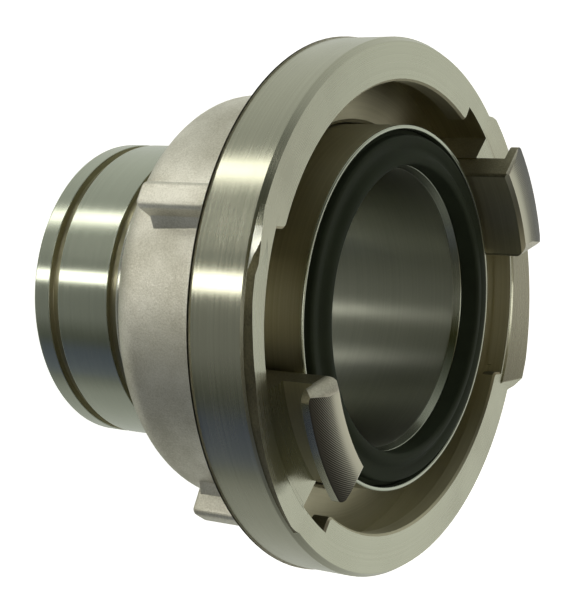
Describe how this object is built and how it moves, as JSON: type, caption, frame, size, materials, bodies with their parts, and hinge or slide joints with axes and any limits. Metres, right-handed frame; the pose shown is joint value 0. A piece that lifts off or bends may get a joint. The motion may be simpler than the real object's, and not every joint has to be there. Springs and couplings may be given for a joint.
{
  "type": "swivel claw hose coupling",
  "caption": "Metal hose coupling with a hooked claw ring that turns freely on a short grooved hose tail and a black lip seal in its face.",
  "frame": {"origin": "centre of the hose tail's end face, on the surface that the coupling stands on", "axes": "+Z along the common axis, from the hose tail to the claws; +X points at a stretch of rim between an opening and a claw"},
  "size_m": [0.127, 0.1266, 0.092],
  "materials": {
    "turned_steel": "turned and polished stainless steel",
    "cast_steel": "blasted stainless casting with turned flange",
    "ring_wire": "drawn stainless wire",
    "seal_rubber": "moulded black rubber, satin"
  },
  "bodies": {
    "tail": {"hose_tail": "turned_steel", "seal": "seal_rubber", "retaining_ring": "ring_wire"},
    "lug_ring": {"lug_ring": "cast_steel"}
  },
  "joints": [
    {"name": "lug_ring_swivel", "type": "hinge", "parent": "tail", "child": "lug_ring", "pos_m": [0, 0, 0.0375], "axis": [0, 0, 1], "continuous": true}
  ]
}
